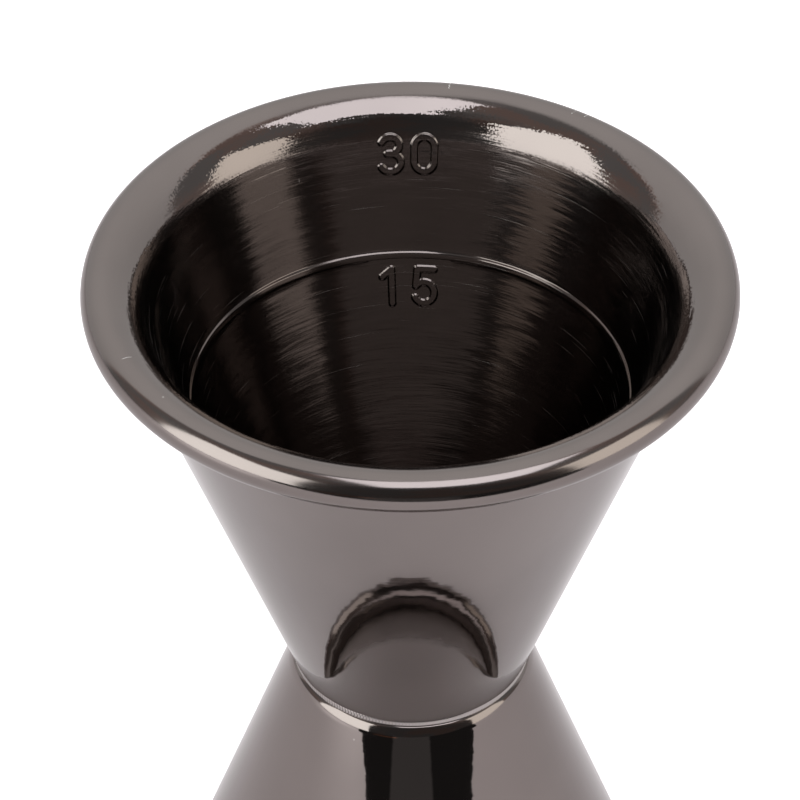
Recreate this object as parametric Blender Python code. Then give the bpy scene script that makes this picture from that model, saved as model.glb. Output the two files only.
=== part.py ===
"""Double-ended bar jigger: two double-walled measuring cups joined mouth-out at a laser-welded waist.

The part stands on the rim of its larger cup. Its origin is the centre of that rim's footprint, and +Z runs
up through the waist to the smaller cup. Sizes are in metres. Every piece is turned about the Z axis.
"""

import math

import bmesh
import bpy

# Cone shape, shared by both ends. A height is measured from the waist plane out towards a cup's rim.
WAIST_RADIUS = 0.0099
CONE_SLOPE = 0.3542          # radius gained for each metre of height
WALL = 0.0019                # drinking surface to outer surface, square to the wall
SHEET = 0.0006               # thickness of each of the two steel sheets
FLOOR_HEIGHT = 0.0017        # drinking side of each cup's floor above the waist plane
FLOOR_FILLET = 0.0025        # inside corner between floor and wall

# Rim, shared by both ends.
BEAD_RADIUS = 0.00162        # the rolled outer bead
BEAD_OVERHANG = 0.00092      # bead centre beyond the outer cone's surface
TRUMPET_RADIUS = 0.0049      # flare from the wall out to the bead
CROWN_LAND = 0.0004          # flat ring on top of the bead, which the part stands on
CURL_END = math.radians(220)  # where the curled edge stops, clockwise from the crown
CONE_TOP_BELOW_BEAD = 0.0006  # the outer cone's edge is tucked behind the curled edge

# The two ends: how far each bead's centre stands from the waist plane, and each cup's graduation.
SMALL_CUP_HEIGHT = 0.03867
LARGE_CUP_HEIGHT = 0.04703
SMALL_CUP_LINE_VOLUME = 15e-6
LARGE_CUP_LINE_VOLUME = 30e-6
RIB_WIDTH = 0.0008
RIB_STAND = 0.00015
RIB_EDGE = 0.00015           # run of each of the rib's sloping flanks

# Waist weld.
WELD_WIDTH = 0.0005
WELD_STAND = 0.00008
WELD_DEPTH = 0.0006
WELD_GAP = 0.0003

SEGMENTS = 48
TRUMPET_STEPS = 5
BEAD_STEPS = 4
CURL_STEPS = 5
FILLET_STEPS = 3

WAIST_Z = BEAD_RADIUS + LARGE_CUP_HEIGHT
CONE_ANGLE = math.atan(CONE_SLOPE)
WALL_RUN = WALL / math.cos(CONE_ANGLE)
SHEET_RUN = SHEET / math.cos(CONE_ANGLE)

# Base colour, roughness. All of it is plated steel.
FINISHES = {
    "gunmetal_brushed": ((0.20, 0.175, 0.165), 0.30),
    "gunmetal_polished": ((0.216, 0.188, 0.178), 0.08),
    "gunmetal_weld": ((0.25, 0.22, 0.21), 0.25),
}


def clear_scene():
    """Remove whatever the scene holds."""
    for thing in list(bpy.data.objects):
        bpy.data.objects.remove(thing, do_unlink=True)


def make_material(name):
    """A metallic material from the table of finishes."""
    colour, roughness = FINISHES[name]
    material = bpy.data.materials.new(name)
    material.use_nodes = True
    shader = material.node_tree.nodes["Principled BSDF"]
    shader.inputs["Base Color"].default_value = (*colour, 1.0)
    shader.inputs["Metallic"].default_value = 1.0
    shader.inputs["Roughness"].default_value = roughness
    return material


def arc(centre, radius, start, end, steps):
    """Points on a round stretch of an outline. Angles run clockwise from straight up, in radians."""
    turn = (end - start) / steps
    angles = [start + turn * step for step in range(steps + 1)]
    return [(centre[0] + radius * math.sin(a), centre[1] + radius * math.cos(a)) for a in angles]


def outer_radius(height):
    """Radius of the outer cone's outside at a height above the waist plane."""
    return WAIST_RADIUS + CONE_SLOPE * height


def inner_radius(height):
    """Radius of the drinking surface at a height above the waist plane."""
    return outer_radius(height) - WALL_RUN


def fill_height(volume):
    """Height above the waist plane of the surface of a volume poured into a cup's cone."""
    floor_radius = inner_radius(FLOOR_HEIGHT)
    surface_radius = (floor_radius ** 3 + 3 * CONE_SLOPE * volume / math.pi) ** (1 / 3)
    return FLOOR_HEIGHT + (surface_radius - floor_radius) / CONE_SLOPE


def bead_centre(cup_height):
    """Centre of the rolled bead's round section."""
    return outer_radius(cup_height) + BEAD_OVERHANG, cup_height


def trumpet(cup_height):
    """Centre of the flare, and its tilt where it meets the bead, so that bead, flare and wall are tangent."""
    radius, height = bead_centre(cup_height)
    reach = (radius - inner_radius(height)) * math.cos(CONE_ANGLE) - BEAD_RADIUS
    spread = TRUMPET_RADIUS - BEAD_RADIUS
    tilt = math.pi / 2 - CONE_ANGLE - math.acos(1 - reach / spread)
    return (radius + spread * math.sin(tilt), height - spread * math.cos(tilt)), tilt


def cup_side(cup_height, depth):
    """One face of the cup's sheet, from the middle of the floor to the curled edge.

    depth is how far the face lies behind the drinking surface: 0, or the sheet's thickness.
    """
    fillet = FLOOR_FILLET + depth
    lean = math.pi / 2 - CONE_ANGLE
    floor = FLOOR_HEIGHT - depth
    wall_foot = inner_radius(FLOOR_HEIGHT) + depth * (1 / math.cos(CONE_ANGLE) - CONE_SLOPE)
    fillet_centre = (wall_foot - fillet * math.tan(lean / 2), floor + fillet)
    points = [(0.0, floor)]
    points += arc(fillet_centre, fillet, math.pi, math.pi - lean, FILLET_STEPS)
    if depth == 0:
        points += rib_points(cup_height)
    flare_centre, tilt = trumpet(cup_height)
    points += arc(flare_centre, TRUMPET_RADIUS - depth, -lean, -tilt, TRUMPET_STEPS)
    centre = bead_centre(cup_height)
    roll = BEAD_RADIUS - depth
    if depth == 0:
        points += [(centre[0] + side * CROWN_LAND / 2, centre[1] + roll) for side in (-1, 1)]
    points += arc(centre, roll, math.pi / 8, math.pi / 2, BEAD_STEPS)
    points += arc(centre, roll, math.pi / 2, CURL_END, CURL_STEPS)[1:]
    return points


def rib_points(cup_height):
    """The raised graduation line, its upper edge at the fill height of the cup's marked volume."""
    volume = SMALL_CUP_LINE_VOLUME if cup_height == SMALL_CUP_HEIGHT else LARGE_CUP_LINE_VOLUME
    top = fill_height(volume)
    heights = (top - RIB_WIDTH, top - RIB_WIDTH + RIB_EDGE, top - RIB_EDGE, top)
    stands = (0.0, RIB_STAND, RIB_STAND, 0.0)
    return [(inner_radius(height) - stand, height) for height, stand in zip(heights, stands)]


def cup_outline(cup_height):
    """Both faces of the cup's sheet as one open outline whose ends lie on the axis."""
    return cup_side(cup_height, 0.0) + cup_side(cup_height, SHEET)[::-1]


def cone_outline(cup_height):
    """Section of the outer cone's sheet, from beside the weld to behind the curled edge."""
    low = WELD_WIDTH / 2 + WELD_GAP
    high = cup_height - CONE_TOP_BELOW_BEAD
    return [
        (outer_radius(low), low),
        (outer_radius(high), high),
        (outer_radius(high) - SHEET_RUN, high),
        (outer_radius(low) - SHEET_RUN, low),
    ]


def weld_outline():
    """Section of the weld: a low crowned band let into the joint between the two outer cones."""
    half = WELD_WIDTH / 2
    crown = WAIST_RADIUS + WELD_STAND
    root = WAIST_RADIUS - WELD_DEPTH
    return [(root, half), (WAIST_RADIUS, half), (crown, half / 2), (crown, -half / 2), (WAIST_RADIUS, -half),
            (root, -half)]


def turned_piece(name, outline, closed, facing, material):
    """Turn an outline about the Z axis into a named solid. facing is 1 for the upper end, -1 for the lower."""
    shape = bmesh.new()
    ring = [shape.verts.new((radius, 0.0, WAIST_Z + facing * height)) for radius, height in outline]
    pairs = list(zip(ring, ring[1:]))
    if closed:
        pairs.append((ring[-1], ring[0]))
    edges = [shape.edges.new(pair) for pair in pairs]
    bmesh.ops.spin(shape, geom=ring + edges, cent=(0, 0, 0), axis=(0, 0, 1), angle=2 * math.pi,
                   steps=SEGMENTS, use_merge=True)
    bmesh.ops.remove_doubles(shape, verts=shape.verts, dist=1e-6)
    bmesh.ops.recalc_face_normals(shape, faces=shape.faces)
    mesh = bpy.data.meshes.new(name)
    shape.to_mesh(mesh)
    shape.free()
    mesh.shade_smooth()
    mesh.set_sharp_from_angle(angle=math.radians(35))
    mesh.materials.append(material)
    piece = bpy.data.objects.new(name, mesh)
    bpy.context.scene.collection.objects.link(piece)
    return piece


def main():
    clear_scene()
    finish = {name: make_material(name) for name in FINISHES}
    for end, cup_height, facing in (("upper", SMALL_CUP_HEIGHT, 1), ("lower", LARGE_CUP_HEIGHT, -1)):
        turned_piece(f"{end}_measuring_cup", cup_outline(cup_height), False, facing, finish["gunmetal_brushed"])
        turned_piece(f"{end}_outer_cone", cone_outline(cup_height), True, facing, finish["gunmetal_polished"])
    turned_piece("waist_weld", weld_outline(), True, 1, finish["gunmetal_weld"])


main()
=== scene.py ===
"""Looks of a double-ended bar jigger, laid out as an add-on and run as a script.

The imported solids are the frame: every size that they hold is read from them. The pieces made here stand for
them, with rounded rims, embossed numerals, a rippled weld and procedural gunmetal plating.
"""

import math
from functools import partial

import bmesh
import bpy
import numpy as np
from bpy.props import FloatProperty, FloatVectorProperty, PointerProperty
from mathutils import Matrix, Vector


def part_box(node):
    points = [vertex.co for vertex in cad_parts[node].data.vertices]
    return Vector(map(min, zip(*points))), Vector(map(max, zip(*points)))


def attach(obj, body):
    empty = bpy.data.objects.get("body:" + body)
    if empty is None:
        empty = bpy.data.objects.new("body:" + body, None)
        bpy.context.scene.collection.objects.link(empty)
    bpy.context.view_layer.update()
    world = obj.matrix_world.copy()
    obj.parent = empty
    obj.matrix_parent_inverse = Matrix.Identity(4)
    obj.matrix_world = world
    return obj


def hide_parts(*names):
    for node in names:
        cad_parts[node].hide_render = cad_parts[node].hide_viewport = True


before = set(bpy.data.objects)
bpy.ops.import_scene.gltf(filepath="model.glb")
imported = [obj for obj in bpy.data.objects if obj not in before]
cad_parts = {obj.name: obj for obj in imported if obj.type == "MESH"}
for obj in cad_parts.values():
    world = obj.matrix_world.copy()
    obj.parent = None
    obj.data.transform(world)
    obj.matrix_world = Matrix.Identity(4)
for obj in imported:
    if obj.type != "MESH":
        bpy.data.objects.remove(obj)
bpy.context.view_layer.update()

bl_info = {
    "name": "Bar Jigger Looks",
    "version": (1, 0, 0),
    "blender": (4, 5, 0),
    "location": "3D View > Sidebar > Jigger",
    "description": "Builds a plated, double-ended bar jigger round its packed solids",
    "category": "Object",
}

# Sizes read from the frame. A height is measured from the waist plane out towards a cup's rim.
WELD_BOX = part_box("waist_weld")
WAIST_Z = (WELD_BOX[0].z + WELD_BOX[1].z) / 2
WELD_HALF_WIDTH = (WELD_BOX[1].z - WELD_BOX[0].z) / 2


def far_edge(node):
    """A node's greatest radius and its greatest height from the waist plane."""
    low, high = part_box(node)
    return high.x, max(high.z - WAIST_Z, WAIST_Z - low.z)


UPPER_SKIN_TOP = far_edge("upper_outer_cone")
LOWER_SKIN_TOP = far_edge("lower_outer_cone")
CONE_SLOPE = (LOWER_SKIN_TOP[0] - UPPER_SKIN_TOP[0]) / (LOWER_SKIN_TOP[1] - UPPER_SKIN_TOP[1])
CONE_ANGLE = math.atan(CONE_SLOPE)
CONE_COS = math.cos(CONE_ANGLE)
WAIST_RADIUS = UPPER_SKIN_TOP[0] - CONE_SLOPE * UPPER_SKIN_TOP[1]
UPPER_RIM = far_edge("upper_measuring_cup")
LOWER_RIM = far_edge("lower_measuring_cup")

# The ends of the jigger: which way each faces, its rim's radius and height, its skin's top, its marks in ml.
ENDS = {
    "upper": {"flip": False, "rim": UPPER_RIM, "skin_top": UPPER_SKIN_TOP, "marks": (15, 30)},
    "lower": {"flip": True, "rim": LOWER_RIM, "skin_top": LOWER_SKIN_TOP, "marks": (30, 45)},
}

TURN_STEPS = 256  # faces round each turned piece
FRONT_STEPS = (12, 18, 44)  # faces along the fillet, flare and bead on the front of a cup's sheet
BACK_STEPS = (4, 5, 14)  # the same on its back
FLOOR_RINGS = (0, 0.25, 0.5, 0.75)  # rings of points on a cup's floor, as shares of its flat radius
RIB_STEPS = 6  # faces over each edge of the raised line
ROW_PITCH = 0.0005  # height of a row of faces on the drinking surface
SKIN_ROWS = 12  # rows of faces up an outer skin
NECK_STEPS = (12, 8)  # faces along the neck's tight and gentle curves
SEAM = 0.00003  # gap between the weld and the lower skin
UPPER_SEAM = 0.0001  # gap between the weld and the upper skin
WELD_ROWS = 10  # rows of faces across the weld
RIPPLE_FACES = 6  # faces along one ripple
RIPPLE_BOW = 0.6  # how far a weld ripple bows along the weld, in ripples
NUMERAL_CUTS = 9  # cuts in each face under a numeral
GLYPH_WIDTH = 0.56  # width of a numeral between stroke centres, for a height of 1
UPPER_NUMERAL_RISE = 0.0006  # top of the brim's numeral above the wall's upper end
LOWER_NUMERAL_GAP = 0.0012  # top of the line's numeral below the raised line
SHARP_ANGLE = math.radians(50)

NECK_SATIN = (0.0003, 0.0018)  # distances from the waist plane over which the neck's satin ends
FOOT_SATIN = (0.012, 0.020)  # heights above the table over which the foot's satin ends
SPECKLE_FADE = (-0.0012, -0.0002)  # radii from the flare's outer end over which its speckle ends
FLARE_FOOT = 0.0011  # width of the rougher ring at the flare's inner end
SCORE_LEVELS = (0.175, 0.22)  # noise levels between which a brush line becomes a scored line
SCORE_COLOUR = (0.29, 0.265, 0.25, 1.0)
# near-black colour of the painted shade in the weld's ripple valleys
VALLEY_SHADE_COLOUR = (0.02, 0.017, 0.016, 1.0)
WELD_ROUGHNESS = 0.09
WHITE = (1.0, 1.0, 1.0, 1.0)

# Nicks in the rims: turn from +Y in degrees, inner and outer radius, width.
NICKS = (
    (7.7, 0.0243, 0.0259, 0.00012),
    (33.0, 0.0245, 0.0252, 0.00009),
    (35.5, 0.0247, 0.0253, 0.00008),
    (-116.0, 0.0240, 0.0248, 0.00006),
)

# The studio. A softbox's corners stand off the middle of the upper rim and scale with the lamp distance.
OVERHEAD_CENTRE = (0.185, -0.338, 1.0)
OVERHEAD_HALF_SIDES = (0.39, 0.33)
OVERHEAD_TURN = math.radians(8.5)
LEFT_CORNERS = ((-1, -0.14, -0.09), (-1, -1.42, -0.09), (-1, -1.42, 1.55), (-1, -0.14, 1.15))
RIGHT_CORNERS = ((1, -0.8, -0.09), (1, -0.1, -0.09), (1, -0.1, 0.80), (1, -0.8, 0.95))
TABLE_HALF_SIDE = 2.4
GLOW_SPOT = (-0.42, -0.24, 0.0)  # middle of the table's brighter patch
GLOW_REACH = (0.05, 0.32)  # distances from it over which the patch ends
GLOW_MORE = 0.7  # radiance that the patch adds
CAMERA_GLOW = 0.6  # radiance added where the camera looks at the table, which keeps it white
EDGE_OUTLINE = ((-2.24, -2.4), (-0.28, -0.30), (0.27, -0.195), (1.30, -1.0), (3.03, -2.4))
EDGE_HEIGHT = 0.001  # height of the dark edge above the table
BROWN_SPOT = (-0.30, -0.78, 0.0)  # middle of the brown patch of the table's edge
BROWN_REACH = (0.13, 0.16)  # distances from it over which the patch ends

LengthProperty = partial(FloatProperty, unit="LENGTH", precision=5)
AngleProperty = partial(FloatProperty, unit="ROTATION")
ShareProperty = partial(FloatProperty, subtype="FACTOR", min=0, max=1)
ColourProperty = partial(FloatVectorProperty, subtype="COLOR", min=0, max=1)


class JiggerSizes(bpy.types.PropertyGroup):
    """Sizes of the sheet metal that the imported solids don't give directly."""

    bead_radius: LengthProperty(
        name="Bead Radius", description="Radius of the rolled bead round each mouth", default=0.00162)
    flare_radius: LengthProperty(
        name="Flare Radius", description="Radius of the flare from the wall out to the bead",
        default=0.0049)
    curl_end: AngleProperty(
        name="Curl End", description="Where the curled edge meets the skin, clockwise from the bead's crown",
        default=math.radians(229))
    wall: LengthProperty(
        name="Wall", description="Drinking surface to outer surface, square to the wall", default=0.0019)
    sheet: LengthProperty(
        name="Sheet", description="Thickness of each of the two steel sheets", default=0.0006)
    floor_height: LengthProperty(
        name="Floor Height", description="Drinking side of each cup's floor above the waist plane",
        default=0.0017)
    floor_fillet: LengthProperty(
        name="Floor Fillet", description="Radius of the corner between floor and wall", default=0.0025)
    rib_width: LengthProperty(
        name="Line Width", description="Width of the raised fill line", default=0.0008)
    rib_stand: LengthProperty(
        name="Line Height", description="How far the fill line stands out of the wall", default=0.00013)
    rib_edge: LengthProperty(
        name="Line Edge Radius", description="Radius of the fill line's rounded edges", default=0.00011)
    numeral_height: LengthProperty(
        name="Numeral Height", description="Height of a numeral over its strokes", default=0.00375)
    numeral_stroke: LengthProperty(
        name="Numeral Stroke", description="Width of a numeral's strokes at the foot", default=0.00074)
    numeral_stand: LengthProperty(
        name="Numeral Relief", description="How far a numeral stands out of the wall", default=0.00013)
    numeral_edge: LengthProperty(
        name="Numeral Edge", description="Width of a stroke's rounded flank", default=0.00017)
    numeral_pitch: LengthProperty(
        name="Numeral Pitch", description="Distance from one numeral to the next", default=0.0028)
    numeral_shift: LengthProperty(
        name="Numeral Shift", description="How far the stamped numerals stand off the middle line",
        default=-0.0002)
    neck_height: LengthProperty(
        name="Neck Height", description="Height of the rounded neck under the weld", default=0.001)
    neck_low_height: LengthProperty(
        name="Neck Lower Height", description="Height of the neck's lower, gently curved stretch",
        default=0.00065)
    neck_lean: AngleProperty(
        name="Neck Lean", description="How far the neck's face leans back beside the weld",
        default=math.radians(62))
    neck_lean_low: AngleProperty(
        name="Neck Lower Lean", description="How far the neck's face leans back where its two curves meet",
        default=math.radians(27))
    weld_sag: LengthProperty(
        name="Weld Sag", description="How far the weld reaches down the lower skin past its middle band",
        default=0.0001)
    ripple_pitch: LengthProperty(
        name="Ripple Pitch", description="Distance from one ripple of the weld to the next",
        default=0.00028)
    ripple_depth: LengthProperty(
        name="Ripple Depth", description="Height of the weld's ripples", default=0.000035, precision=6)


class JiggerFinish(bpy.types.PropertyGroup):
    """Colour and surface of the plating."""

    plating: ColourProperty(
        name="Plating", description="Colour of the gunmetal plating", default=(0.216, 0.188, 0.178))
    # The brushed plating is darker than the outer plating partly for its brushing and partly as painted shade
    # inside the cups.
    brushed: ColourProperty(
        name="Brushed Plating", description="Colour of the brushed plating inside the cups",
        default=(0.158, 0.136, 0.128))
    weld: ColourProperty(name="Weld", description="Colour of the plated weld", default=(0.42, 0.385, 0.37))
    dust: ColourProperty(
        name="Dust", description="Colour of the dust specks and fine scratches", default=(0.62, 0.6, 0.58))
    polish: ShareProperty(
        name="Polish Roughness", description="Roughness of the polished outside and rim", default=0.025)
    neck: ShareProperty(
        name="Neck Roughness", description="Roughness of the skins beside the weld", default=0.10)
    foot: ShareProperty(
        name="Foot Roughness", description="Roughness of the large skin beside the rim that it stands on",
        default=0.42)
    bead: ShareProperty(
        name="Bead Roughness", description="Roughness of the rolled bead, which is polished less finely",
        default=0.14)
    brush: ShareProperty(
        name="Brush Roughness", description="Roughness of the brushed drinking surface", default=0.12)
    brush_pitch: LengthProperty(
        name="Brush Line Pitch", description="Spacing of the brush lines up the wall", default=0.00007)
    brush_length: LengthProperty(
        name="Brush Line Length", description="Length of a brush line round the wall",
        default=0.004, precision=4)


class JiggerStage(bpy.types.PropertyGroup):
    """The studio: camera, floor and lights."""

    lens: FloatProperty(
        name="Lens", description="Focal length of the camera in millimetres", default=211.3, unit="CAMERA")
    camera_distance: LengthProperty(
        name="Camera Distance", description="Camera to the middle of the upper rim",
        default=0.3722, precision=4)
    camera_elevation: AngleProperty(
        name="Camera Elevation", description="Angle of the camera above the upper rim",
        default=math.radians(38.94))
    camera_pitch: AngleProperty(
        name="Camera Pitch", description="How far the camera looks down", default=math.radians(40.33))
    camera_roll: AngleProperty(
        name="Camera Roll", description="Turn of the camera about its own line of sight",
        default=math.radians(-0.14))
    camera_shift: FloatProperty(
        name="Camera Shift", description="Sideways shift of the frame, in frame widths", default=-0.0131)
    floor: ColourProperty(name="Floor", description="Colour of the table", default=(0.84, 0.81, 0.83))
    floor_glow: FloatProperty(
        name="Floor Glow", description="Radiance added to the table, as if lit from below", default=0.08)
    lamp_distance: LengthProperty(
        name="Lamp Distance", description="Distance from the upper rim to each softbox's plane",
        default=1.0)
    overhead: FloatProperty(name="Top Softbox", description="Radiance of the overhead softbox", default=3.0)
    left: FloatProperty(name="Left Softbox", description="Radiance of the left softbox", default=3.2)
    right: FloatProperty(name="Right Softbox", description="Radiance of the right softbox", default=2.1)


# ---- outlines ----


def arc(centre, radius, start, end, steps):
    """Points on a round stretch of an outline. Angles run clockwise from straight up, in radians."""
    turn = (end - start) / steps
    angles = [start + turn * step for step in range(steps + 1)]
    return [(centre[0] + radius * math.sin(a), centre[1] + radius * math.cos(a)) for a in angles]


def outer_radius(height):
    """Radius of the skin's outside at a height above the waist plane."""
    return WAIST_RADIUS + CONE_SLOPE * height


class Cup:
    """The drinking surface of one cup: floor, wall, flare and bead."""

    def __init__(self, sizes, end):
        self.sizes = sizes
        self.bead = (end["rim"][0] - sizes.bead_radius, end["rim"][1] - sizes.bead_radius)
        reach = (self.bead[0] - self.wall_radius(self.bead[1])) * CONE_COS - sizes.bead_radius
        spread = sizes.flare_radius - sizes.bead_radius
        self.tilt = math.pi / 2 - CONE_ANGLE - math.acos(1 - reach / spread)
        across, down = spread * math.sin(self.tilt), spread * math.cos(self.tilt)
        self.flare = (self.bead[0] + across, self.bead[1] - down)
        self.lean = math.pi / 2 - CONE_ANGLE
        self.wall_top = self.flare[1] + sizes.flare_radius * math.cos(self.lean)
        self.line_height = self.fill_height(end["marks"][0] * 1e-6)

    def wall_radius(self, height):
        """Radius of the conical wall at a height."""
        return outer_radius(height) - self.sizes.wall / CONE_COS

    def fill_height(self, volume):
        """Height of the surface of a volume poured into the cup."""
        foot = self.wall_radius(self.sizes.floor_height)
        surface = (foot ** 3 + 3 * CONE_SLOPE * volume / math.pi) ** (1 / 3)
        return self.sizes.floor_height + (surface - foot) / CONE_SLOPE

    def surface(self, height):
        """Radius at a height on the wall or flare, and the direction into the cup as (radius, height)."""
        if height <= self.wall_top:
            return self.wall_radius(height), (-CONE_COS, math.sin(CONE_ANGLE))
        rise = min((height - self.flare[1]) / self.sizes.flare_radius, 1.0)
        across = math.sqrt(1 - rise * rise)
        return self.flare[0] - self.sizes.flare_radius * across, (-across, rise)

    def rib(self):
        """The raised fill line, with rounded edges. Its upper edge is at the fill height."""
        low = self.line_height - self.sizes.rib_width
        edge, stand = self.sizes.rib_edge, self.sizes.rib_stand
        points = []
        for start, end in ((0.0, 1.0), (1.0, 0.0)):
            middle = low + edge if start == 0.0 else self.line_height - edge
            for step in range(RIB_STEPS + 1):
                share = step / RIB_STEPS
                height = middle + edge * (2 * share - 1)
                rise = start + (end - start) * share * share * (3 - 2 * share)
                points.append((self.wall_radius(height) - stand * rise, height))
        return points

    def side(self, depth):
        """One face of the sheet, from the middle of the floor to the curled edge, depth behind the front."""
        sizes = self.sizes
        rings, steps = (FLOOR_RINGS, FRONT_STEPS) if depth == 0 else (FLOOR_RINGS[:1], BACK_STEPS)
        fillet = sizes.floor_fillet + depth
        foot = self.wall_radius(sizes.floor_height) + depth * (1 / CONE_COS - CONE_SLOPE)
        centre = (foot - fillet * math.tan(self.lean / 2), sizes.floor_height - depth + fillet)
        points = [(centre[0] * share, sizes.floor_height - depth) for share in rings]
        points += arc(centre, fillet, math.pi, math.pi - self.lean, steps[0])
        if depth == 0:
            rib = self.rib()
            points += self.rows(points[-1][1], rib[0][1]) + rib + self.rows(rib[-1][1], self.wall_top)
        points += arc(self.flare, sizes.flare_radius - depth, -self.lean, -self.tilt, steps[1])
        bead = arc(self.bead, sizes.bead_radius - depth, -self.tilt, sizes.curl_end, steps[2])
        return points + bead[1:]

    def rows(self, low, high):
        """Evenly spaced points up the wall, without either end."""
        count = round((high - low) / ROW_PITCH)
        heights = [low + (high - low) * step / count for step in range(1, count)]
        return [(self.wall_radius(height), height) for height in heights]

    def outline(self):
        """Both faces of the sheet as one open outline whose ends lie on the axis."""
        return self.side(0.0) + self.side(self.sizes.sheet)[::-1]


# ---- numerals ----


def stroke_arc(centre, radii, start, end, steps=16):
    """Points of a round stroke. Angles are in degrees, anticlockwise from the right."""
    angles = [math.radians(start + (end - start) * step / steps) for step in range(steps + 1)]
    return [(centre[0] + radii[0] * math.cos(a), centre[1] + radii[1] * math.sin(a)) for a in angles]


def numeral_strokes():
    """The middle line of each numeral's strokes. The lines are 1 high and stand on 0."""
    zero = stroke_arc((0.28, 0.70), (0.28, 0.30), 180, 0) + stroke_arc((0.28, 0.30), (0.28, 0.30), 0, -180)
    three_top = stroke_arc((0.27, 0.755), (0.25, 0.245), 155, -80)
    three_foot = stroke_arc((0.27, 0.26), (0.29, 0.265), 85, -155)
    five_bowl = stroke_arc((0.27, 0.31), (0.29, 0.31), 130, -150)
    return {
        "0": [zero + zero[:1]],
        "1": [[(0.05, 0.80), (0.30, 1.0), (0.30, 0.0)]],
        "3": [three_top + [(0.19, 0.52)], [(0.19, 0.52)] + three_foot],
        "4": [[(0.42, 0.0), (0.42, 1.0), (0.0, 0.28), (0.60, 0.28)]],
        "5": [[(0.52, 1.0), (0.08, 1.0), (0.04, 0.50)], [(0.04, 0.50)] + five_bowl],
    }


def stroke_distance(points, strokes):
    """Distance from each point to the nearest stroke."""
    nearest = np.full(len(points), np.inf)
    for stroke in strokes:
        line = np.array(stroke)
        for start, run in zip(line[:-1], np.diff(line, axis=0)):
            along = np.clip((points - start) @ run / (run @ run), 0, 1)
            gap = np.linalg.norm(points - start - along[:, None] * run, axis=1)
            nearest = np.minimum(nearest, gap)
    return nearest


def emboss(shape, cup, text, middle_height):
    """Raise numerals out of the wall at +Y, centred on a height."""
    sizes = cup.sizes
    radius = cup.surface(middle_height)[0]
    glyph_scale = sizes.numeral_height - sizes.numeral_stroke
    glyph_width = GLYPH_WIDTH * glyph_scale
    half_high = sizes.numeral_height / 2 * CONE_COS + ROW_PITCH
    half_wide = (sizes.numeral_pitch * (len(text) - 1) + glyph_width + sizes.numeral_stroke) / 2 + ROW_PITCH

    def under_text(face):
        spot = face.calc_center_median()
        turn = math.atan2(spot.x, spot.y)
        reach = math.hypot(spot.x, spot.y)
        on_front = reach < cup.surface(spot.z)[0] + sizes.sheet / 3 if spot.z < cup.bead[1] else False
        return on_front and abs(turn) * radius < half_wide and abs(spot.z - middle_height) < half_high

    faces = [face for face in shape.faces if under_text(face)]
    edges = list({edge for face in faces for edge in face.edges})
    result = bmesh.ops.subdivide_edges(shape, edges=edges, cuts=NUMERAL_CUTS, use_grid_fill=True)
    made = {item for item in result["geom_inner"] + result["geom"] if isinstance(item, bmesh.types.BMVert)}
    verts = list(made | {vert for face in faces if face.is_valid for vert in face.verts})
    turns = np.array([math.atan2(vert.co.x, vert.co.y) for vert in verts])
    heights = np.array([vert.co.z for vert in verts])
    points = np.stack([turns * radius, (heights - middle_height) / CONE_COS], axis=1)
    glyphs = numeral_strokes()
    first = sizes.numeral_shift - sizes.numeral_pitch * (len(text) - 1) / 2 - glyph_width / 2
    strokes = []
    for place, glyph in enumerate(text):
        left = first + sizes.numeral_pitch * place
        for stroke in glyphs[glyph]:
            strokes.append([(left + x * glyph_scale, (y - 0.5) * glyph_scale) for x, y in stroke])
    reach = (sizes.numeral_stroke / 2 - stroke_distance(points, strokes)) / sizes.numeral_edge
    share = np.clip(reach, 0, 1)
    stands = sizes.numeral_stand * share * share * (3 - 2 * share)
    for vert, turn, stand in zip(verts, turns, stands):
        surface, inward = cup.surface(vert.co.z)
        away = surface + inward[0] * stand
        vert.co = (away * math.sin(turn), away * math.cos(turn), vert.co.z + inward[1] * stand)


# ---- pieces ----


def spin_outline(outline, closed, steps=TURN_STEPS):
    """Turn an outline about the Z axis into a bmesh. Heights become Z."""
    shape = bmesh.new()
    ring = [shape.verts.new((radius, 0.0, height)) for radius, height in outline]
    pairs = list(zip(ring, ring[1:])) + ([(ring[-1], ring[0])] if closed else [])
    edges = [shape.edges.new(pair) for pair in pairs]
    bmesh.ops.spin(shape, geom=ring + edges, cent=(0, 0, 0), axis=(0, 0, 1), angle=2 * math.pi, steps=steps,
                   use_merge=True)
    bmesh.ops.remove_doubles(shape, verts=shape.verts, dist=1e-6)
    bmesh.ops.recalc_face_normals(shape, faces=shape.faces)
    return shape


def place_shape(shape, name, materials):
    """Make a shape an object of the scene."""
    mesh = bpy.data.meshes.new(name)
    shape.to_mesh(mesh)
    shape.free()
    for material in materials:
        mesh.materials.append(material)
    placed = bpy.data.objects.new(name, mesh)
    bpy.context.scene.collection.objects.link(placed)
    return placed


def finish_piece(shape, name, flip, materials, node):
    """Move a shape to its end of the jigger and make it a piece that stands for a solid of the frame."""
    if flip:
        bmesh.ops.rotate(shape, verts=shape.verts, cent=(0, 0, 0), matrix=Matrix.Rotation(math.pi, 3, "Y"))
    bmesh.ops.translate(shape, verts=shape.verts, vec=(0, 0, WAIST_Z))
    piece = place_shape(shape, name, materials)
    piece.data.shade_smooth()
    piece.data.set_sharp_from_angle(angle=SHARP_ANGLE)
    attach(piece, "root")
    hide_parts(node)


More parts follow.
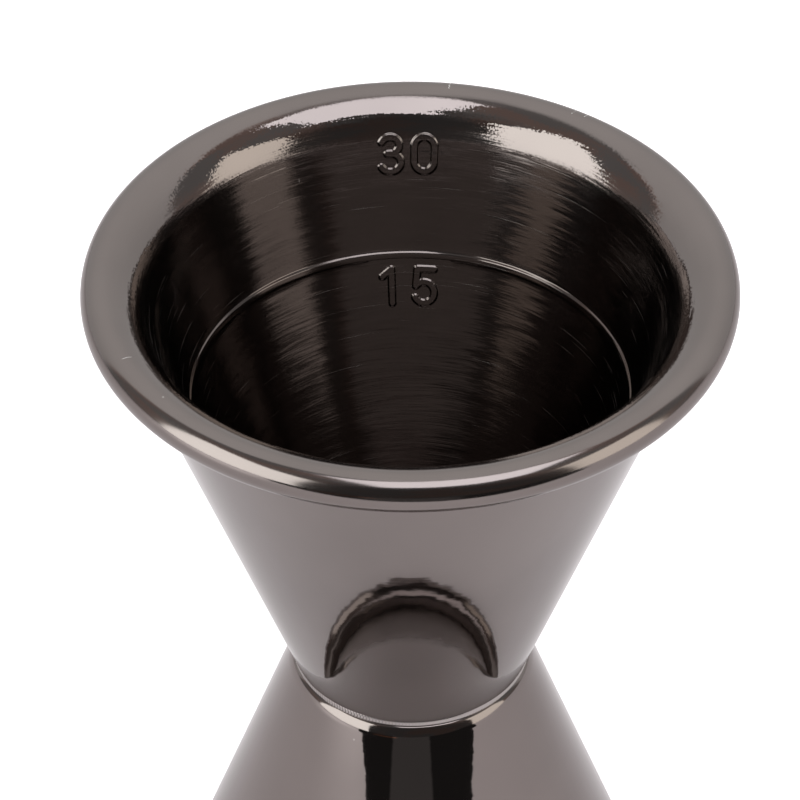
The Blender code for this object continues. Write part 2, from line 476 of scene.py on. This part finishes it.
def make_cup(sizes, end_name):
    """A measuring cup with its raised line and numerals."""
    end = ENDS[end_name]
    cup = Cup(sizes, end)
    shape = spin_outline(cup.outline(), closed=False)
    half_numeral = sizes.numeral_height / 2 * CONE_COS
    emboss(shape, cup, str(end["marks"][1]), cup.wall_top + UPPER_NUMERAL_RISE - half_numeral)
    emboss(shape, cup, str(end["marks"][0]), cup.line_height - LOWER_NUMERAL_GAP - half_numeral)
    for face in shape.faces:
        spot = face.calc_center_median()
        reach = math.hypot(spot.x, spot.y)
        on_wall = spot.z < cup.wall_top and reach < cup.wall_radius(spot.z) + sizes.sheet / 2
        face.material_index = 1 if on_wall else 0
    node = f"{end_name}_measuring_cup"
    materials = [rim_material(cup, end_name), wall_material()]
    finish_piece(shape, f"{end_name}_cup", end["flip"], materials, node)


def weld_span(sizes):
    """Middle height and half width of the weld."""
    return -sizes.weld_sag / 2, WELD_HALF_WIDTH + sizes.weld_sag / 2


def neck_outline(sizes):
    """The rounded neck of the lower skin, from beside the weld to the straight cone."""
    start, middle = math.pi / 2 - sizes.neck_lean, math.pi / 2 - sizes.neck_lean_low
    straight = math.pi / 2 - CONE_ANGLE
    foot = WELD_HALF_WIDTH + sizes.weld_sag + SEAM
    tight = (sizes.neck_height - sizes.neck_low_height) / (math.cos(start) - math.cos(middle))
    wide = sizes.neck_low_height / (math.cos(middle) - math.cos(straight))
    top = foot + sizes.neck_height
    low = arc((outer_radius(top) - wide * math.sin(straight), top + wide * math.cos(straight)), wide,
              math.pi - middle, math.pi - straight, NECK_STEPS[1])
    high = arc((low[0][0] - tight * math.sin(middle), low[0][1] + tight * math.cos(middle)), tight,
               math.pi - start, math.pi - middle, NECK_STEPS[0])
    return high[:-1] + low


def make_skin(sizes, end_name, material):
    """The outer cone. The lower one has a rounded neck under the weld."""
    end = ENDS[end_name]
    top = end["skin_top"][1]
    foot = WELD_HALF_WIDTH + (sizes.weld_sag + SEAM if end["flip"] else UPPER_SEAM)
    run = sizes.sheet / CONE_COS
    neck = neck_outline(sizes) if end["flip"] else [(outer_radius(foot), foot)]
    low = neck[-1][1]
    heights = [low + (top - low) * row / SKIN_ROWS for row in range(1, SKIN_ROWS + 1)]
    outside = neck + [(outer_radius(height), height) for height in heights]
    inside = [(outer_radius(top) - run, top), (neck[0][0] - run, foot)]
    shape = spin_outline(outside + inside, closed=True)
    node = f"{end_name}_outer_cone"
    finish_piece(shape, f"{end_name}_skin", end["flip"], [material], node)


def ripple_count(sizes):
    """How many ripples go round the weld."""
    return round(2 * math.pi * WAIST_RADIUS / sizes.ripple_pitch)


def make_weld(sizes, material):
    """The weld: a low crowned band with crescent ripples."""
    root = WAIST_RADIUS - sizes.sheet
    middle, half = weld_span(sizes)
    spots = [1 - 2 * row / WELD_ROWS for row in range(WELD_ROWS + 1)]
    stand = WELD_BOX[1].x - WAIST_RADIUS
    face = [(WAIST_RADIUS + stand * (1 - spot * spot), middle + half * spot) for spot in spots]
    ripples = ripple_count(sizes)
    outline = [(root, middle + half)] + face + [(root, middle - half)]
    shape = spin_outline(outline, closed=True, steps=ripples * RIPPLE_FACES)
    for vert in shape.verts:
        reach = math.hypot(vert.co.x, vert.co.y)
        if reach > root + sizes.sheet / 4:
            across = (vert.co.z - middle) / half
            turn = math.atan2(vert.co.y, vert.co.x)
            phase = turn / (2 * math.pi) * ripples + RIPPLE_BOW * across * across
            saw = phase - math.floor(phase)
            dip = sizes.ripple_depth * (1 - across * across) * (1 - math.sin(math.pi * saw))
            vert.co.x *= (reach - dip) / reach
            vert.co.y *= (reach - dip) / reach
    finish_piece(shape, "weld_band", False, [material], "waist_weld")


# ---- shader nodes ----


def add(tree, kind, inputs=None, **settings):
    """Add a node. inputs maps a socket's name or number to a value or to another node's output."""
    node = tree.nodes.new(kind)
    for name, value in settings.items():
        setattr(node, name, value)
    for socket, value in (inputs or {}).items():
        if isinstance(value, bpy.types.NodeSocket):
            tree.links.new(value, node.inputs[socket])
        else:
            node.inputs[socket].default_value = value
    return node


def object_place(tree):
    """The place of a point in its piece's own frame."""
    return add(tree, "ShaderNodeTexCoord").outputs["Object"]


def object_parts(tree):
    """The X, Y and Z of a point in its piece's own frame."""
    return add(tree, "ShaderNodeSeparateXYZ", {0: object_place(tree)}).outputs


def maths(tree, operation, *values):
    """The output of a Math node."""
    return add(tree, "ShaderNodeMath", dict(enumerate(values)), operation=operation).outputs[0]


def times(tree, first, second):
    """The product of two values."""
    return maths(tree, "MULTIPLY", first, second)


def vector_maths(tree, operation, *values):
    """The vector output of a Vector Math node."""
    return add(tree, "ShaderNodeVectorMath", dict(enumerate(values)), operation=operation).outputs[0]


def vector_length(tree, vector):
    """The length of a vector."""
    return add(tree, "ShaderNodeVectorMath", {0: vector}, operation="LENGTH").outputs["Value"]


def scaled(tree, vector, share):
    """A vector times a number."""
    return add(tree, "ShaderNodeVectorMath", {0: vector, "Scale": share}, operation="SCALE").outputs[0]


def fade(tree, value, low, high, to_low=0.0, to_high=1.0):
    """A value between low and high mapped smoothly onto another range."""
    inputs = {"Value": value, "From Min": low, "From Max": high, "To Min": to_low, "To Max": to_high}
    return add(tree, "ShaderNodeMapRange", inputs, interpolation_type="SMOOTHSTEP").outputs["Result"]


def mix_colour(tree, share, first, second):
    """Two colours mixed."""
    return add(tree, "ShaderNodeMix", {0: share, 6: first, 7: second}, data_type="RGBA").outputs[2]


def noise(tree, vector, scale, detail=2.0, rough=0.5):
    """The grey output of a Noise Texture."""
    inputs = {"Vector": vector, "Scale": scale, "Detail": detail, "Roughness": rough}
    return add(tree, "ShaderNodeTexNoise", inputs).outputs["Fac"]


def group(name, inputs, outputs):
    """A new shader node group and its two end nodes. Inputs hold a default, or None for a vector."""
    tree = bpy.data.node_groups.new(name, "ShaderNodeTree")
    for label, default in inputs.items():
        kind = "NodeSocketVector" if default is None else "NodeSocketFloat"
        socket = tree.interface.new_socket(label, in_out="INPUT", socket_type=kind)
        if default is not None:
            socket.default_value = default
    for label, kind in outputs.items():
        tree.interface.new_socket(label, in_out="OUTPUT", socket_type=f"NodeSocket{kind}")
    return tree, tree.nodes.new("NodeGroupInput").outputs, tree.nodes.new("NodeGroupOutput").inputs


def use_group(tree, name, inputs=None):
    """Place a node group and give its sockets values or links."""
    return add(tree, "ShaderNodeGroup", inputs, node_tree=bpy.data.node_groups[name]).outputs


def build_turned_directions():
    """Group: the radius of a point, and the direction round the Z axis."""
    tree, _, out = group("Turned Directions", {}, {"Radius": "Float", "Round": "Vector"})
    flat = vector_maths(tree, "MULTIPLY", object_place(tree), (1.0, 1.0, 0.0))
    cross = vector_maths(tree, "CROSS_PRODUCT", (0.0, 0.0, 1.0), flat)
    tree.links.new(vector_length(tree, flat), out["Radius"])
    tree.links.new(vector_maths(tree, "NORMALIZE", cross), out["Round"])


def build_tilted_normal():
    """Group: the surface normal tipped round the turned piece and up its wall."""
    tree, given, out = group("Tilted Normal", {"Round": 0.0, "Up": 0.0, "Any": None}, {"Normal": "Vector"})
    normal = add(tree, "ShaderNodeNewGeometry").outputs["Normal"]
    round_way = use_group(tree, "Turned Directions")["Round"]
    up_way = vector_maths(tree, "CROSS_PRODUCT", normal, round_way)
    total = vector_maths(tree, "ADD", normal, scaled(tree, round_way, given["Round"]))
    total = vector_maths(tree, "ADD", total, scaled(tree, up_way, given["Up"]))
    total = vector_maths(tree, "ADD", total, given["Any"])
    tree.links.new(vector_maths(tree, "NORMALIZE", total), out["Normal"])


def build_brush_lines():
    """Group: fine lines round the Z axis, as two independent signed values."""
    outputs = {"First": "Float", "Second": "Float"}
    tree, given, out = group("Brush Lines", {"Pitch": 0.0001, "Length": 0.01}, outputs)
    along = maths(tree, "DIVIDE", 1.0, given["Length"])
    across = maths(tree, "DIVIDE", 1.0, given["Pitch"])
    stretch = add(tree, "ShaderNodeCombineXYZ", {0: along, 1: along, 2: across}).outputs[0]
    lined = vector_maths(tree, "MULTIPLY", object_place(tree), stretch)
    moved = vector_maths(tree, "ADD", lined, (17.3, 4.1, 0.5))
    for label, vector in (("First", lined), ("Second", moved)):
        grey = noise(tree, vector, 1.0, detail=3.0, rough=0.6)
        tree.links.new(maths(tree, "SUBTRACT", grey, 0.5), out[label])


def build_orange_peel():
    """Group: a random small tilt in every direction, for the faint unevenness under a polish."""
    tree, given, out = group("Orange Peel", {"Grain": 0.001, "Amount": 0.01}, {"Tilt": "Vector"})
    scale = maths(tree, "DIVIDE", 1.0, given["Grain"])
    inputs = {"Vector": object_place(tree), "Scale": scale, "Detail": 2.0}
    colour = add(tree, "ShaderNodeTexNoise", inputs).outputs["Color"]
    centred = vector_maths(tree, "SUBTRACT", colour, (0.5, 0.5, 0.5))
    tree.links.new(scaled(tree, centred, given["Amount"]), out["Tilt"])


def build_turning_waves():
    """Group: a tilt up the wall that changes only with height, as turning and polishing leave it."""
    tree, given, out = group("Turning Waves", {"Pitch": 0.002, "Amount": 0.01}, {"Up": "Float"})
    turns = maths(tree, "DIVIDE", object_parts(tree)["Z"], given["Pitch"])
    spot = add(tree, "ShaderNodeCombineXYZ", {2: turns}).outputs[0]
    grey = noise(tree, spot, 1.0, detail=0.0)
    tree.links.new(times(tree, maths(tree, "SUBTRACT", grey, 0.5), given["Amount"]), out["Up"])


def build_nick():
    """Group: a mask of one short pale scratch that runs outwards across the rim, at a turn from +Y."""
    inputs = {"Turn": 0.0, "Inner": 0.024, "Outer": 0.025, "Width": 0.00008}
    tree, given, out = group("Nick", inputs, {"Mask": "Float"})
    place, parts = object_place(tree), object_parts(tree)
    sine, cosine = maths(tree, "SINE", given["Turn"]), maths(tree, "COSINE", given["Turn"])
    along = maths(tree, "MULTIPLY_ADD", parts["X"], sine, times(tree, parts["Y"], cosine))
    beside = times(tree, parts["X"], cosine)
    beside = maths(tree, "SUBTRACT", beside, times(tree, parts["Y"], sine))
    wander = maths(tree, "SUBTRACT", noise(tree, place, 1500.0), 0.5)
    beside = maths(tree, "ABSOLUTE", maths(tree, "MULTIPLY_ADD", wander, 0.00012, beside))
    thin = maths(tree, "LESS_THAN", beside, maths(tree, "DIVIDE", given["Width"], 2.0))
    past_inner = maths(tree, "GREATER_THAN", along, given["Inner"])
    inside = times(tree, past_inner, maths(tree, "LESS_THAN", along, given["Outer"]))
    broken = fade(tree, noise(tree, place, 5000.0), 0.36, 0.5)
    tree.links.new(times(tree, times(tree, thin, inside), broken), out["Mask"])


def build_handling_marks():
    """Group: a mask of dust specks and short fine scratches."""
    tree, given, out = group("Handling Marks", {"Dust": 0.5, "Scratches": 0.5}, {"Mask": "Float"})
    place = object_place(tree)
    turned = {"Vector": place, "Rotation": (0.4, 0.9, 0.3), "Scale": (1.0, 1.0, 0.06)}
    stretched = add(tree, "ShaderNodeMapping", turned).outputs[0]

    def marks(vector, scale, low, high, channel, chance, amount):
        """Small spots, one in each of a random share of the cells."""
        cells = add(tree, "ShaderNodeTexVoronoi", {"Vector": vector, "Scale": scale}).outputs
        small = fade(tree, cells["Distance"], low, high, 1.0, 0.0)
        picked = add(tree, "ShaderNodeSeparateColor", {0: cells["Color"]}).outputs[channel]
        chosen = maths(tree, "GREATER_THAN", picked, 1.0 - chance)
        return times(tree, times(tree, small, chosen), amount)

    dust = marks(place, 420.0, 0.03, 0.055, 0, 0.10, given["Dust"])
    scratch = marks(stretched, 260.0, 0.012, 0.03, 1, 0.07, given["Scratches"])
    tree.links.new(maths(tree, "MAXIMUM", dust, scratch), out["Mask"])


def build_groups():
    """Make the shared node groups once."""
    if "Turned Directions" not in bpy.data.node_groups:
        for build in (build_turned_directions, build_tilted_normal, build_brush_lines, build_orange_peel,
                      build_turning_waves, build_nick, build_handling_marks):
            build()


def new_material(name):
    """A material and its node tree."""
    material = bpy.data.materials.new(name)
    material.use_nodes = True
    return material, material.node_tree


def new_metal(name):
    """A metal material with its tree and shader, ready for links."""
    build_groups()
    material, tree = new_material(name)
    shader = tree.nodes["Principled BSDF"]
    shader.inputs["Metallic"].default_value = 1.0
    return material, tree, shader


def dusted(tree, colour, dust, scratches):
    """The plating's colour with handling marks over it, and the marks' mask."""
    finish = bpy.context.scene.jigger_finish
    cloud = fade(tree, noise(tree, object_place(tree), 90.0), 0.3, 0.7)
    darker, lighter = [(*[part * share for part in colour], 1.0) for share in (0.96, 1.04)]
    plating = mix_colour(tree, cloud, darker, lighter)
    mask = use_group(tree, "Handling Marks", {"Dust": dust, "Scratches": scratches})["Mask"]
    return mix_colour(tree, mask, plating, (*finish.dust, 1.0)), mask


def marked(tree, rough, mask, share):
    """Roughness with its marks no smoother than a share."""
    return maths(tree, "MAXIMUM", rough, times(tree, mask, share))


def link_plating(tree, shader, colour, rough, tilts):
    """Link a plating's colour, its roughness and the tilts of its normal to its shader."""
    normal = use_group(tree, "Tilted Normal", tilts)["Normal"]
    for name, value in {"Base Color": colour, "Roughness": rough, "Normal": normal}.items():
        tree.links.new(value, shader.inputs[name])


def skin_material():
    """Mirror polish with a faint orange peel, satin at the neck and beside the standing rim."""
    finish = bpy.context.scene.jigger_finish
    material, tree, shader = new_metal("Polished gunmetal")
    colour, mask = dusted(tree, finish.plating, 0.25, 0.15)
    height = object_parts(tree)["Z"]
    from_weld = maths(tree, "ABSOLUTE", maths(tree, "SUBTRACT", height, WAIST_Z))
    rough = fade(tree, from_weld, *NECK_SATIN, finish.neck, finish.polish)
    rough = maths(tree, "MAXIMUM", rough, fade(tree, height, *FOOT_SATIN, finish.foot, finish.polish))
    peel = use_group(tree, "Orange Peel", {"Grain": 0.0011, "Amount": 0.006})["Tilt"]
    lines = use_group(tree, "Brush Lines", {"Pitch": 0.0002, "Length": 0.012})
    waves = use_group(tree, "Turning Waves", {"Pitch": 0.0030, "Amount": 0.006})["Up"]
    up = maths(tree, "MULTIPLY_ADD", lines["First"], 0.005, waves)
    round_tilt = times(tree, lines["Second"], 0.014)
    tilts = {"Round": round_tilt, "Up": up, "Any": peel}
    link_plating(tree, shader, colour, marked(tree, rough, mask, 0.4), tilts)
    return material


def rim_material(cup, end_name):
    """Polish on the bead, going over to a speckled flare, with nicks."""
    finish = bpy.context.scene.jigger_finish
    material, tree, shader = new_metal(f"Rim of the {end_name} cup")
    colour, mask = dusted(tree, finish.plating, 0.6, 0.5)
    for turn, inner, outer, width in NICKS:
        inputs = {"Turn": math.radians(turn), "Inner": inner, "Outer": outer, "Width": width}
        nick = use_group(tree, "Nick", inputs)["Mask"]
        mask = maths(tree, "MAXIMUM", mask, nick)
        colour = mix_colour(tree, nick, colour, (*finish.dust, 1.0))
    radius = use_group(tree, "Turned Directions")["Radius"]
    flare_end = cup.bead[0] - cup.sizes.bead_radius * math.sin(cup.tilt)
    on_flare = fade(tree, radius, flare_end + SPECKLE_FADE[0], flare_end + SPECKLE_FADE[1], 1.0, 0.0)
    flare_foot = cup.wall_radius(cup.wall_top)
    at_foot = fade(tree, radius, flare_foot, flare_foot + FLARE_FOOT, 1.0, 0.0)
    amount = times(tree, on_flare, 0.16)
    speckle = use_group(tree, "Orange Peel", {"Grain": 0.00016, "Amount": amount})["Tilt"]
    lines = use_group(tree, "Brush Lines", {"Pitch": 0.00015, "Length": 0.006})
    up = times(tree, lines["First"], maths(tree, "MULTIPLY_ADD", on_flare, 0.10, 0.08))
    round_tilt = times(tree, lines["Second"], times(tree, at_foot, 0.35))
    rough = maths(tree, "MULTIPLY_ADD", at_foot, 0.12, fade(tree, on_flare, 0.0, 1.0, finish.bead, 0.05))
    tilts = {"Round": round_tilt, "Up": up, "Any": speckle}
    link_plating(tree, shader, colour, marked(tree, rough, mask, 0.4), tilts)
    return material


def wall_material():
    """Brush lines round the drinking surface, a few of them scored deeper and paler."""
    finish = bpy.context.scene.jigger_finish
    material, tree, shader = new_metal("Brushed gunmetal")
    shader.inputs["Anisotropic"].default_value = 0.8
    shader.inputs["Anisotropic Rotation"].default_value = 0.25
    # The darker brushed colour is partly painted shade inside the cups.
    colour, mask = dusted(tree, finish.brushed, 0.7, 0.6)
    pitch, length = finish.brush_pitch, finish.brush_length
    lines = use_group(tree, "Brush Lines", {"Pitch": pitch, "Length": length})
    bands = use_group(tree, "Brush Lines", {"Pitch": pitch * 5, "Length": length * 2})
    scores = use_group(tree, "Brush Lines", {"Pitch": pitch, "Length": length * 3})
    both = maths(tree, "MULTIPLY_ADD", bands["Second"], 0.5, lines["Second"])
    round_tilt = times(tree, both, fade(tree, object_parts(tree)["X"], 0.0, 0.007, 0.08, 0.24))
    up = times(tree, maths(tree, "MULTIPLY_ADD", bands["First"], 0.4, lines["First"]), 0.30)
    peel = use_group(tree, "Orange Peel", {"Grain": 0.0002, "Amount": 0.02})["Tilt"]
    scored = fade(tree, scores["First"], *SCORE_LEVELS)
    colour = mix_colour(tree, scored, colour, SCORE_COLOUR)
    rough = fade(tree, lines["First"], -0.3, 0.3, finish.brush * 0.8, finish.brush * 1.2)
    rough = marked(tree, rough, scored, 0.45)
    tilts = {"Round": round_tilt, "Up": up, "Any": peel}
    link_plating(tree, shader, colour, marked(tree, rough, mask, 0.5), tilts)
    tangent = add(tree, "ShaderNodeTangent", direction_type="RADIAL", axis="Z").outputs[0]
    tree.links.new(tangent, shader.inputs["Tangent"])
    return material


def weld_material():
    """Plated weld, paler and rougher than the sheet, with painted shade in its ripple valleys, darker on the
    -X side.
    """
    finish = bpy.context.scene.jigger_finish
    sizes = bpy.context.scene.jigger_sizes
    material, tree, shader = new_metal("Weld ripple")
    colour, mask = dusted(tree, finish.weld, 0.3, 0.0)
    parts = object_parts(tree)
    turn = maths(tree, "DIVIDE", maths(tree, "ARCTAN2", parts["Y"], parts["X"]), 2 * math.pi)
    middle, half = weld_span(sizes)
    across = maths(tree, "DIVIDE", maths(tree, "SUBTRACT", parts["Z"], WAIST_Z + middle), half)
    bow = times(tree, times(tree, across, across), RIPPLE_BOW)
    saw = maths(tree, "FRACT", maths(tree, "MULTIPLY_ADD", turn, float(ripple_count(sizes)), bow))
    # painted shade in the valleys between the ripples, stronger on the -X side of the weld than on the +X
    # side
    valley_shade = fade(tree, maths(tree, "ABSOLUTE", maths(tree, "SUBTRACT", saw, 0.5)), 0.28, 0.44)
    valley_shade = times(tree, valley_shade, fade(tree, parts["X"], -0.003, 0.003, 0.9, 0.15))
    colour = mix_colour(tree, valley_shade, colour, VALLEY_SHADE_COLOUR)
    rough = fade(tree, mask, 0.0, 1.0, WELD_ROUGHNESS, 0.4)
    peel = use_group(tree, "Orange Peel", {"Grain": 0.00012, "Amount": 0.04})["Tilt"]
    link_plating(tree, shader, colour, rough, {"Any": peel})
    return material


# ---- stage ----


def make_camera(stage):
    """The camera, in front of the jigger and looking down into the upper cup."""
    data = bpy.data.cameras.new("Camera")
    data.lens = stage.lens
    data.sensor_width = 36.0
    data.shift_x = stage.camera_shift
    data.clip_start = 0.01
    camera = bpy.data.objects.new("Camera", data)
    rim_z = WAIST_Z + UPPER_RIM[1] - bpy.context.scene.jigger_sizes.bead_radius
    out = stage.camera_distance * math.cos(stage.camera_elevation)
    rise = stage.camera_distance * math.sin(stage.camera_elevation)
    tilt = Matrix.Rotation(math.pi / 2 - stage.camera_pitch, 4, "X")
    roll = Matrix.Rotation(stage.camera_roll, 4, "Z")
    camera.matrix_world = Matrix.Translation((0.0, -out, rim_z + rise)) @ tilt @ roll
    bpy.context.scene.collection.objects.link(camera)
    bpy.context.scene.camera = camera


def make_panel(name, corners, material, hidden_from=()):
    """A flat panel of the studio, which isn't part of the jigger and can be hidden from kinds of ray."""
    shape = bmesh.new()
    shape.faces.new([shape.verts.new(corner) for corner in corners])
    panel = place_shape(shape, name, [material])
    for ray in hidden_from:
        setattr(panel, f"visible_{ray}", False)


def glow_material(name, colour, strength):
    """A plain light-giving surface, with its tree and its light's node."""
    material, tree = new_material(name)
    tree.nodes.clear()
    light = add(tree, "ShaderNodeEmission", {"Color": (*colour, 1.0), "Strength": strength})
    output = tree.nodes.new("ShaderNodeOutputMaterial")
    tree.links.new(light.outputs[0], output.inputs["Surface"])
    return material, tree, light


def make_softboxes(stage):
    """Three softboxes: overhead, left and right of the camera."""
    rim_z = WAIST_Z + UPPER_RIM[1]
    turn = Matrix.Rotation(OVERHEAD_TURN, 3, "Z")
    half_wide, half_deep = OVERHEAD_HALF_SIDES
    overhead_corners = [
        Vector(OVERHEAD_CENTRE) + turn @ Vector((half_wide * x, half_deep * y, 0.0))
        for x, y in ((-1, -1), (1, -1), (1, 1), (-1, 1))
    ]
    panels = {
        "overhead_softbox": (overhead_corners, (0.97, 0.98, 1.03), stage.overhead),
        "left_softbox": (LEFT_CORNERS, (0.98, 1.0, 0.98), stage.left),
        "right_softbox": (RIGHT_CORNERS, (1.0, 0.96, 0.88), stage.right),
    }
    for name, (corners, colour, strength) in panels.items():
        material, _, _ = glow_material(name, colour, strength)
        placed = [Vector(corner) * stage.lamp_distance + Vector((0, 0, rim_z)) for corner in corners]
        make_panel(name, placed, material, ("camera", "shadow"))


def make_floor(stage):
    """The pale table, brighter in one patch at the left."""
    material, tree = new_material("Pale table")
    shader = tree.nodes["Principled BSDF"]
    shader.inputs["Base Color"].default_value = (*stage.floor, 1.0)
    shader.inputs["Roughness"].default_value = 0.9
    shader.inputs["Specular IOR Level"].default_value = 0.0
    shader.inputs["Emission Color"].default_value = WHITE
    reach = vector_length(tree, vector_maths(tree, "SUBTRACT", object_place(tree), GLOW_SPOT))
    glow = fade(tree, reach, *GLOW_REACH, stage.floor_glow + GLOW_MORE, stage.floor_glow)
    seen = add(tree, "ShaderNodeLightPath").outputs["Is Camera Ray"]
    tree.links.new(maths(tree, "MULTIPLY_ADD", seen, CAMERA_GLOW, glow), shader.inputs["Emission Strength"])
    half = TABLE_HALF_SIDE
    make_panel("floor", [(-half, -half, 0), (half, -half, 0), (half, half, 0), (-half, half, 0)], material)


def make_table_edge():
    """The dark edge of the table in front of the jigger, seen only in reflections."""
    material, tree, light = glow_material("Dark table edge", (1.0, 0.94, 0.9), 0.03)
    parts = object_parts(tree)
    side = maths(tree, "ABSOLUTE", maths(tree, "DIVIDE", parts["X"], parts["Y"]))
    tree.links.new(fade(tree, side, 0.24, 0.28, 0.12, 0.03), light.inputs["Strength"])
    reach = vector_length(tree, vector_maths(tree, "SUBTRACT", object_place(tree), BROWN_SPOT))
    brown = fade(tree, reach, *BROWN_REACH, 1.0, 0.0)
    tint = mix_colour(tree, brown, (1.0, 0.98, 0.98, 1.0), (8.0, 3.6, 2.0, 1.0))
    tree.links.new(tint, light.inputs["Color"])
    corners = [(x, y, EDGE_HEIGHT) for x, y in EDGE_OUTLINE]
    make_panel("table_edge", corners, material, ("camera", "diffuse", "shadow"))


def make_world():
    """A white sweep behind the jigger, a dark room in front, and plain white where the camera looks."""
    world = bpy.data.worlds.new("Studio")
    world.use_nodes = True
    bpy.context.scene.world = world
    tree = world.node_tree
    tree.nodes.clear()
    way = add(tree, "ShaderNodeTexCoord").outputs["Generated"]
    parts = add(tree, "ShaderNodeSeparateXYZ", {0: way}).outputs
    side = maths(tree, "ABSOLUTE", parts["X"])
    lopsided = maths(tree, "MULTIPLY_ADD", parts["X"], 0.05, parts["Y"])
    behind = fade(tree, maths(tree, "MULTIPLY_ADD", side, -0.35, lopsided), -0.05, 0.05)
    sweep = fade(tree, parts["Z"], 0.0, 0.9, 0.74, 1.02)
    room = fade(tree, parts["Y"], -0.75, -0.30, 0.07, 0.28)
    share = add(tree, "ShaderNodeMix", {0: behind, 2: room, 3: sweep}).outputs[0]
    in_front = maths(tree, "SUBTRACT", 1.0, behind)
    patches = times(tree, fade(tree, noise(tree, way, 3.0), 0.45, 0.62), in_front)
    colour = mix_colour(tree, patches, WHITE, (1.25, 0.97, 0.88, 1.0))
    shade = add(tree, "ShaderNodeBackground", {"Color": colour, "Strength": share})
    plain = add(tree, "ShaderNodeBackground", {"Color": WHITE, "Strength": 1.0})
    camera_ray = add(tree, "ShaderNodeLightPath").outputs["Is Camera Ray"]
    mixed = add(tree, "ShaderNodeMixShader", {0: camera_ray, 1: shade.outputs[0], 2: plain.outputs[0]})
    output = tree.nodes.new("ShaderNodeOutputWorld")
    tree.links.new(mixed.outputs[0], output.inputs["Surface"])


# ---- operators ----


class JIGGER_OT_stage(bpy.types.Operator):
    """Set up the camera, the pale table and the studio lights"""

    bl_idname = "jigger.stage"
    bl_label = "Studio"

    def execute(self, context):
        stage = context.scene.jigger_stage
        context.scene.view_settings.view_transform = "Standard"
        make_camera(stage)
        make_world()
        make_floor(stage)
        make_table_edge()
        make_softboxes(stage)
        return {"FINISHED"}


class JIGGER_OT_measuring_cups(bpy.types.Operator):
    """Build both measuring cups with their raised lines and numerals"""

    bl_idname = "jigger.measuring_cups"
    bl_label = "Measuring Cups"

    def execute(self, context):
        for end_name in ENDS:
            make_cup(context.scene.jigger_sizes, end_name)
        return {"FINISHED"}


class JIGGER_OT_outer_skins(bpy.types.Operator):
    """Build the polished conical skin round each cup"""

    bl_idname = "jigger.outer_skins"
    bl_label = "Outer Skins"

    def execute(self, context):
        material = skin_material()
        for end_name in ENDS:
            make_skin(context.scene.jigger_sizes, end_name, material)
        return {"FINISHED"}


class JIGGER_OT_waist_weld(bpy.types.Operator):
    """Build the rippled weld that joins the two skins"""

    bl_idname = "jigger.waist_weld"
    bl_label = "Waist Weld"

    def execute(self, context):
        make_weld(context.scene.jigger_sizes, weld_material())
        return {"FINISHED"}


class JIGGER_PT_pieces(bpy.types.Panel):
    """The jigger's pieces and settings"""

    bl_idname = "JIGGER_PT_pieces"
    bl_label = "Bar Jigger"
    bl_space_type = "VIEW_3D"
    bl_region_type = "UI"
    bl_category = "Jigger"

    def draw(self, context):
        column = self.layout.column()
        for operator in OPERATORS:
            column.operator(operator.bl_idname)
        for settings_name in SETTINGS:
            settings = getattr(context.scene, settings_name)
            box = self.layout.box()
            for name in settings.bl_rna.properties.keys():
                if name not in ("rna_type", "name"):
                    box.prop(settings, name)


SETTINGS = {"jigger_sizes": JiggerSizes, "jigger_finish": JiggerFinish, "jigger_stage": JiggerStage}
OPERATORS = (JIGGER_OT_stage, JIGGER_OT_measuring_cups, JIGGER_OT_outer_skins, JIGGER_OT_waist_weld)


def register():
    for kind in (*SETTINGS.values(), *OPERATORS, JIGGER_PT_pieces):
        bpy.utils.register_class(kind)
    for name, kind in SETTINGS.items():
        setattr(bpy.types.Scene, name, PointerProperty(type=kind))


def unregister():
    for name in SETTINGS:
        delattr(bpy.types.Scene, name)
    for kind in (JIGGER_PT_pieces, *OPERATORS, *SETTINGS.values()):
        bpy.utils.unregister_class(kind)


def main():
    register()
    bpy.ops.jigger.stage()
    bpy.ops.jigger.measuring_cups()
    bpy.ops.jigger.outer_skins()
    bpy.ops.jigger.waist_weld()


if __name__ == "__main__":
    main()
